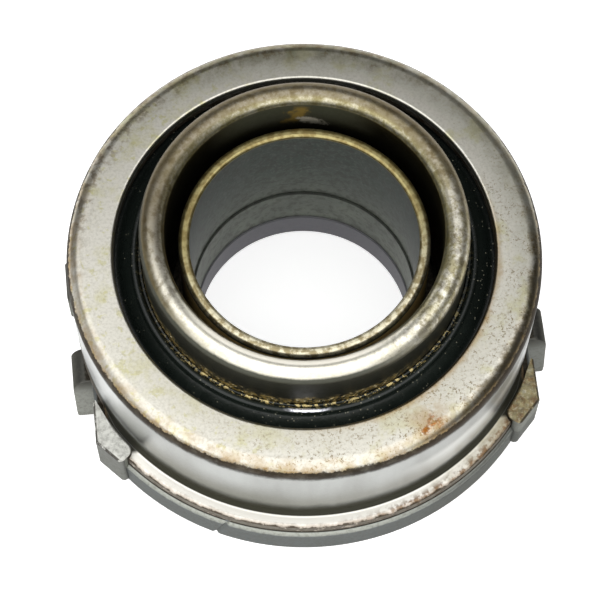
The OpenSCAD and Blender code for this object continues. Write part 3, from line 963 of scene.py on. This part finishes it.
@dataclass
class CarrierPlate:
    """The thick plate on the sleeve's collar, with folded ears at its corners and fork lugs at its sides."""

    datum: Datum
    plate_lip: float = 0.7
    plate_edge: float = 0.8
    nick_a: float = -115.0
    nick_w: float = 0.5
    nick_depth: float = 0.35
    nick_slant: float = 18.0
    nick_span: float = 0.11
    nick_steps: int = 121
    seat_gap: float = 0.05
    steps: int = 420
    rear_a: float = 52.0
    ear_w: float = 5.0
    ear_foot: float = 0.6
    ear_start: float = 0.45
    ear_slot: float = 0.02
    thin_strap: float = 0.15
    thin_tab: float = 0.06
    tab_gap: float = 1.0
    tab_edge: float = 1.3
    fold_edge: float = 0.45
    hammer: float = 0.035
    hammer_size: float = 2.3
    hammer_reach: float = 0.5
    fork_gap: float = 9.4
    lug_w: float = 5.5
    lug_flare: float = 2.0
    lug_t: float = 2.6
    lug_bend: float = 2.2
    lug_edge: float = 1.2
    lug_round: float = 0.3
    lug_foot: float = 2.2
    lug_root: float = 0.9
    lug_sink: float = 0.02

    @property
    def plate_r(self) -> float:
        """Radius of the plate."""
        return self.datum.flange_r + self.plate_lip

    def disc(self) -> Shell:
        """The plate: a ring section carried round a circle with two straight sides.

        At turn t the outer radius is the lesser of the plate's radius and side_x / |cos t|. The nick lowers the
        rim by a bell curve of the distance from a slanted line.
        """
        datum = self.datum
        hole = datum.sleeve_r + self.seat_gap
        corners = four_ways(np.arccos([datum.side_x / self.plate_r]))
        nick = np.radians(self.nick_a)
        near_nick = nick + np.linspace(-self.nick_span, self.nick_span, self.nick_steps)
        turns = full_turn(self.steps, np.concatenate([corners, near_nick]))
        loop = rounded_loop([
            (hole, datum.plate_z, 0.0), (self.plate_r, datum.plate_z, self.plate_edge / 2),
            (self.plate_r, datum.plate_top, self.plate_edge), (hole, datum.plate_top, 0.0)], 0.45)
        reach = np.minimum(self.plate_r, side_reach(turns, datum.side_x))
        now = np.stack([np.full_like(reach, hole), reach])
        slant = np.tan(np.radians(self.nick_slant)) * (loop[:, 1:] - 0.5 * (datum.plate_z + datum.plate_top))
        aside = (np.mod(turns - nick + np.pi, TURN) - np.pi) * self.plate_r - slant
        on_rim = (loop[:, :1] > self.plate_r - self.plate_edge).astype(float)
        dent = -self.nick_depth * np.exp(-((aside / (0.6 * self.nick_w)) ** 2)) * on_rim
        return swept(round_axis(loop, turns, (hole, self.plate_r), now, shift=dent), ring=True)

    def front_ear(self) -> Shell:
        """An ear that starts along the plate's side, goes round its corner and ends at a rounded tip."""
        datum = self.datum
        tilt, out = np.radians(datum.ear_a), datum.ear_r
        corner_t = (out * np.cos(tilt) - datum.side_x) / np.sin(tilt)
        corner, tip = tilt + np.arctan(np.array([corner_t, corner_t + self.ear_w]) / out)
        start = np.arccos(datum.side_x / (datum.cover_r + self.tab_gap + self.ear_start))
        turns = np.unique(np.concatenate([np.linspace(start, corner, 34), np.linspace(corner, tip, 60)]))
        return self.ear(tilt, turns, turns[-1] - turns, datum.side_x)

    def rear_ear(self) -> Shell:
        """An ear square across the round rim, with both ends rounded."""
        tilt = np.radians(self.rear_a)
        half = np.arctan(0.5 * self.ear_w / self.datum.ear_r)
        turns = np.linspace(tilt - half, tilt + half, 70)
        return self.ear(tilt, turns, half - np.abs(turns - tilt), np.inf)

    def ear(self, tilt: float, turns: np.ndarray, left: np.ndarray, side: float) -> Shell:
        """A hooked section carried along the rim, with a hammered tab on top.

        At turn t the outer face is at the lesser of side / cos t and ear_out / cos(t - tilt), so it follows the
        plate's side and then the ear's own line. Towards a free end both edges draw in along a quarter circle.

        Args:
            tilt: angle of the ear's line.
            turns: angles of the steps.
            left: angle that is left to the free end at each step.
            side: distance of the plate's straight side from the axis.

        Returns:
            The ear's shell.
        """
        datum = self.datum
        ear_in, ear_out = datum.ear_in, datum.ear_r
        wall = datum.cover_r + self.tab_gap
        outer = np.minimum(side / np.cos(turns), ear_out / np.cos(turns - tilt))
        strap = np.minimum((side - datum.ear_t) / np.cos(turns), ear_in / np.cos(turns - tilt))
        inner_round, outer_round = self.tab_edge, self.tab_edge / 2
        inner_draw = np.clip(inner_round - left * ear_out, 0.0, inner_round)
        outer_draw = np.clip(outer_round - left * ear_out, 0.0, outer_round)
        edge = wall + inner_round - np.sqrt(inner_round ** 2 - inner_draw ** 2)
        outer = outer - outer_round + np.sqrt(outer_round ** 2 - outer_draw ** 2)
        strap = np.maximum(np.minimum(strap, outer - self.thin_strap), edge + self.thin_tab)
        was = (wall, ear_in, ear_out)
        low, slot = datum.plate_z + self.ear_foot, datum.flange_top + self.ear_slot
        base = datum.plate_top - self.seat_gap
        loop = rounded_loop([
            (wall, low, 0.0), (ear_out, low, 0.25), (ear_out, datum.tab_top, self.fold_edge),
            (wall, datum.tab_top, 0.3), (wall, slot, 0.1), (ear_in, slot, 0.1),
            (ear_in, base, 0.1), (wall, base, 0.0)], 0.2)
        grid = round_axis(loop, turns, was, np.stack([edge, strap, outer]))
        on_tab = np.clip((loop[:, 1:] - datum.tab_top + self.hammer_reach) / self.hammer_reach, 0.0, 1.0)
        grid[..., 2] += self.hammer * on_tab * (rough(grid[..., 0], grid[..., 1], self.hammer_size) - 1.0)
        return swept(grid, ring=False)

    def lug(self) -> Shell:
        """One fork lug: a rounded rectangle carried from the plate's top down to the foot.

        Its outer face comes in over the bend along a quarter circle. The far side slants out from the plate's
        top to the foot, whose corners are quarter circles, and the top edges draw in along a small one.
        """
        datum = self.datum
        big, small, soft, bend = self.lug_edge, self.lug_edge / 2, self.lug_round, self.lug_bend
        top, foot = datum.plate_top - self.lug_sink, datum.lug_z + self.lug_foot
        over = top - bend + bend * np.sin(np.linspace(0.5 * np.pi, 0.0, 22))
        step = datum.plate_z + self.lug_sink
        shank = np.linspace(step, datum.lug_z + 0.003, 50)
        height = np.concatenate([over, np.linspace(top - bend, step, 12)[1:], shank])
        below = np.arange(len(height)) >= len(height) - len(shank)
        into_bend = np.clip(height - top + bend, 0.0, bend)
        x_out = datum.lug_x - bend + np.sqrt(bend ** 2 - into_bend ** 2)
        x_in = np.where(below, datum.lug_x - self.lug_t, datum.side_x - self.lug_root)
        into_top = np.clip(height - top + soft, 0.0, soft)
        draw = soft - np.sqrt(soft ** 2 - into_top ** 2)
        into_foot, into_tip = (np.clip(datum.lug_z + size - height, 0.0, size) for size in (big, small))
        flare = self.lug_flare * np.clip((top - height) / (top - foot), 0.0, 1.0)
        y_far = self.fork_gap / 2 + self.lug_w + flare - big + np.sqrt(big ** 2 - into_foot ** 2) - draw
        y_near = self.fork_gap / 2 + small - np.sqrt(small ** 2 - into_tip ** 2) + draw
        thick, wide = self.lug_t, self.lug_w
        loop = rounded_loop([(0.0, 0.0, 0.0), (thick, 0.0, soft), (thick, wide, soft), (0.0, wide, 0.0)], 0.4)
        share = loop / np.array([thick, wide])
        x = x_in + (x_out - x_in) * share[:, :1]
        y = y_near + (y_far - y_near) * share[:, 1:]
        return swept(np.stack([x, y, np.repeat(height[None], len(loop), 0)], axis=-1), ring=False)

    def dress(self) -> None:
        """Builds the disc, the ears and the fork lugs, and puts them in place."""
        finish = PlateSteel().material(self.datum)
        front, rear, lug = self.front_ear().mirrored(False, True), self.rear_ear(), self.lug()
        ears = front.joined(rear)
        lugs = lug.joined(lug.mirrored(False, True))
        ears, lugs = (shell.joined(shell.mirrored(True, False)) for shell in (ears, lugs))
        for name, shell in (("carrier_disc", self.disc()), ("carrier_ears", ears), ("carrier_fork_lugs", lugs)):
            dressed(shell.piece(name), finish, Body.CARRIER, Slot.PLATE, "carrier_plate")


@dataclass
class Cover:
    """The pressed cup over the bearing: a flat top with a hole, a wall and a flange with two cut sides."""

    datum: Datum
    hole_r: float = 28.0
    corner: float = 2.2
    fillet: float = 0.9
    sheet_edge: float = 0.5
    seat_gap: float = 0.01
    wall_gap: float = 0.03
    steps: int = 480

    def build(self) -> bpy.types.Object:
        """Carries the sheet's section round the axis and cuts the flange back to two straight sides.

        At turn t the flange ends at the lesser of its radius and flange_cut / |cos t|, never inside the wall.
        """
        datum = self.datum
        inside = datum.cover_r - datum.sheet_t
        under = datum.cover_top - datum.sheet_t
        wall, seat = datum.cover_r + self.wall_gap, datum.plate_top + self.seat_gap
        loop = rounded_loop([
            (self.hole_r, under, 0.15), (inside, under, 0.4), (inside, seat, self.fillet + datum.sheet_t),
            (datum.flange_r, seat, 0.15), (datum.flange_r, datum.flange_top, self.sheet_edge),
            (datum.cover_r, datum.flange_top, self.fillet), (datum.cover_r, datum.cover_top, self.corner),
            (self.hole_r, datum.cover_top, self.sheet_edge)], 0.8)
        bends = np.arccos(datum.flange_cut / np.array([wall, datum.flange_r]))
        turns = full_turn(self.steps, four_ways(bends))
        reach = np.clip(side_reach(turns, datum.flange_cut), wall, datum.flange_r)
        still = np.full_like(reach, datum.cover_r)
        now = np.stack([still - (datum.cover_r - self.hole_r), still, reach])
        was = (self.hole_r, datum.cover_r, datum.flange_r)
        return swept(round_axis(loop, turns, was, now), ring=True).piece("cover_cup")

    def dress(self) -> None:
        """Builds the cover and puts it in place."""
        dressed(self.build(), CoverSteel().material(self.datum), Body.CARRIER, Slot.COVER, "cover")


@dataclass
class BallRace:
    """The ball bearing: the inner ring with its nose, the front seal, and the hidden pieces behind them."""

    datum: Datum
    race_depth: float = 1.25
    race_r: float = 3.302
    ring_edge: float = 0.8
    outer_in_r: float = 27.85
    seal_h: float = 2.5
    seal_seat: float = 0.9
    lip_gap: float = 0.1
    lip_w: float = 0.9
    ridge_r: float = 0.5
    ridge_rise: float = 0.85
    steps: int = 360

    def inner_ring(self) -> bpy.types.Object:
        """Revolves the inner ring's section: a full round nose on top and the raceway's arc outside."""
        datum = self.datum
        bore = datum.inner_r - datum.inner_wall
        race_z = 0.5 * (datum.ring_rear + datum.ring_front)
        half = np.degrees(np.arccos(1.0 - self.race_depth / self.race_r))
        centre = (datum.inner_r - self.race_depth + self.race_r, race_z)
        race = arc_points(centre, self.race_r, 180 + half, 180 - half)
        nose = datum.inner_wall / 2
        outline = rounded_loop([
            (bore, datum.ring_rear, self.ring_edge), (datum.inner_r, datum.ring_rear, self.ring_edge / 2),
            (datum.inner_r, datum.nose_top, nose), (bore, datum.nose_top, nose)], 0.8)
        span = race[-1, 1] - race_z + 0.05
        outside = outline[:, 0] > datum.inner_r - TINY
        kept = ~(outside & (np.abs(outline[:, 1] - race_z) < span))
        first = int(np.flatnonzero(outside & (outline[:, 1] > race_z + span))[0])
        loop = np.vstack([outline[:first][kept[:first]], race, outline[first:][kept[first:]]])
        return revolved(loop, self.steps).piece("nose_ring")

    def front_seal(self) -> bpy.types.Object:
        """Revolves the front seal's section: a seat, a sloping band, a round ridge and a lip."""
        datum = self.datum
        foot, brim = datum.ring_front - self.seal_h, datum.ring_front - self.seal_h / 3
        seat, lip = self.outer_in_r + self.seal_seat, datum.inner_r + self.lip_gap
        middle, level = lip + self.lip_w + self.ridge_r / 4, datum.ring_front + self.ridge_rise
        near, far, crest = middle - self.ridge_r, middle + self.ridge_r, level + self.ridge_r
        loop = rounded_loop([
            (seat, foot, 0.1), (seat, brim, 0.1), (self.outer_in_r - self.seal_seat / 2, brim, 1.2),
            (far, level - 0.35, 0.5), (far, crest, self.ridge_r * 0.9), (near, crest, self.ridge_r * 0.9),
            (near, level - 0.1, 0.2), (lip, level + 0.25, 0.15), (lip, level - 0.2, 0.1),
            (lip + self.lip_w, datum.ring_front - 0.2, 0.2),
            (lip + self.lip_w, foot + self.seal_h / 3, 0.3), (lip + 2 * self.lip_w, foot, 0.2)], 0.4)
        return revolved(loop, self.steps).piece("seal_ring")

    def dress(self) -> None:
        """Builds the pieces that show and gives the hidden ones their finishes."""
        dressed(self.inner_ring(), NoseSteel().material(self.datum), Body.INNER_RACE, Slot.NOSE, "inner_ring")
        rubber = SealRubber().material(self.datum)
        dressed(self.front_seal(), rubber, Body.BEARING, Slot.SEAL, "front_seal")
        hidden = {
            "outer_ring": HiddenFinish("ground_race_steel", (0.58, 0.58, 0.60), (0.42, 0.42, 0.44), 1.0, 0.22),
            "cage": HiddenFinish("moulded_cage", (0.13, 0.12, 0.085), (0.075, 0.07, 0.05), 0.0, 0.45),
            "wave_spring": HiddenFinish("spring_strip", (0.24, 0.25, 0.27), (0.14, 0.145, 0.155), 1.0, 0.35),
            "ball": HiddenFinish("polished_balls", (0.80, 0.81, 0.83), (0.70, 0.71, 0.73), 1.0, 0.08),
        }
        finishes = {name: finish.material() for name, finish in hidden.items()} | {"rear_seal": rubber}
        for name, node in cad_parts.items():
            finish = finishes.get(name.rsplit("_", 1)[0]) or finishes.get(name)
            if finish:
                node.data.materials.clear()
                node.data.materials.append(finish)
                LOG.info("%s: %s", name, finish.name)


@dataclass
class Studio:
    """A pale floor, soft lamps and the camera, which looks from the photograph's place.

    The camera's angles are degrees, its distance and target millimetres, and its focal length pixels of the
    image. The floor's half width is metres.
    """

    elevation: float = 66.8
    azimuth: float = 6.42
    roll: float = 0.52
    distance: float = 340.0
    focal_px: float = 2269.9
    target: Place = (-1.03, -3.92, 20.0)
    sensor_mm: float = 36.0
    floor_half: float = 5.0
    floor_glow: float = 0.55
    room_light: float = 0.22
    white: Colour = (1.0, 1.0, 1.0)

    def axes(self) -> tuple[Vector, Vector, Vector]:
        """The camera's right, up and forward directions."""
        tilt, turn, roll = np.radians([self.elevation, self.azimuth, self.roll])
        ahead = Vector((np.sin(turn) * np.cos(tilt), np.cos(turn) * np.cos(tilt), -np.sin(tilt)))
        right = Vector((np.cos(turn), -np.sin(turn), 0.0))
        up = right.cross(ahead)
        return np.cos(roll) * right + np.sin(roll) * up, np.cos(roll) * up - np.sin(roll) * right, ahead

    def camera(self) -> None:
        """Sets the camera at its fitted place."""
        right, up, ahead = self.axes()
        place = (Vector(self.target) - self.distance * ahead) * MM
        lens = bpy.data.cameras.new("photo_camera")
        lens.sensor_fit = "HORIZONTAL"
        lens.sensor_width = self.sensor_mm
        lens.lens = self.focal_px / IMAGE_PX * self.sensor_mm
        lens.clip_start = 0.01
        made = bpy.data.objects.new("photo_camera", lens)
        turned = Matrix((right, up, -ahead)).transposed().to_4x4()
        made.matrix_world = Matrix.Translation(place) @ turned
        bpy.context.scene.collection.objects.link(made)
        bpy.context.scene.camera = made

    def lamp(self, name: str, place: Place, size: tuple[float, float], power: float) -> None:
        """Adds a soft lamp that faces the bearing.

        Args:
            name: name of the lamp.
            place: its place, in metres.
            size: its width and height, in metres.
            power: its power, in watts.
        """
        light = bpy.data.lights.new(name, "AREA")
        light.shape = "RECTANGLE"
        light.size, light.size_y = size
        light.energy = power
        made = bpy.data.objects.new(name, light)
        made.location = place
        aim = Vector((0.0, 0.0, 0.02)) - Vector(place)
        made.rotation_euler = aim.to_track_quat("-Z", "Y").to_euler()
        bpy.context.scene.collection.objects.link(made)

    def floor(self) -> None:
        """Lays a square pale floor under the sleeve."""
        half = self.floor_half
        corners = [(-half, -half, 0.0), (half, -half, 0.0), (half, half, 0.0), (-half, half, 0.0)]
        mesh = bpy.data.meshes.new("floor")
        mesh.from_pydata(corners, [], [(0, 1, 2, 3)])
        made = bpy.data.objects.new("floor", mesh)
        paint = Paint("pale_floor")
        tone = paint.noise(60.0, 2.0)
        mesh.materials.append(paint.surface(
            base_color=paint.mix(tone, (0.90, 0.90, 0.90), (0.92, 0.92, 0.915)), roughness=0.8,
            emission_color=self.white, emission_strength=self.floor_glow))
        bpy.context.scene.collection.objects.link(made)

    def world(self) -> None:
        """Fills the room with a soft pale light."""
        room = bpy.data.worlds.new("studio")
        room.use_nodes = True
        background = room.node_tree.nodes["Background"]
        background.inputs["Color"].default_value = (*self.white, 1.0)
        background.inputs["Strength"].default_value = self.room_light
        bpy.context.scene.world = room

    def build(self) -> None:
        """Builds the whole studio."""
        self.camera()
        self.floor()
        self.world()
        self.lamp("overhead_softbox", (-0.05, -0.185, 0.462), (0.95, 1.02), 6.3)
        self.lamp("rear_panel", (0.05, 0.70, 0.16), (1.2, 0.28), 1.4)
        self.lamp("left_panel", (-0.62, -0.12, 0.26), (0.9, 0.45), 1.0)
        self.lamp("front_panel", (0.0, -0.75, 0.14), (1.2, 0.28), 1.3)
        bpy.context.scene.view_settings.view_transform = "Standard"


def main() -> None:
    """Builds the bearing's pieces and the studio."""
    logging.basicConfig(level=logging.INFO, format="%(message)s")
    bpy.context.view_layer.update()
    datum = Datum.from_frame()
    for part in (GuideSleeve(datum), CarrierPlate(datum), Cover(datum), BallRace(datum)):
        part.dress()
    Studio().build()


if __name__ == "__main__":
    main()
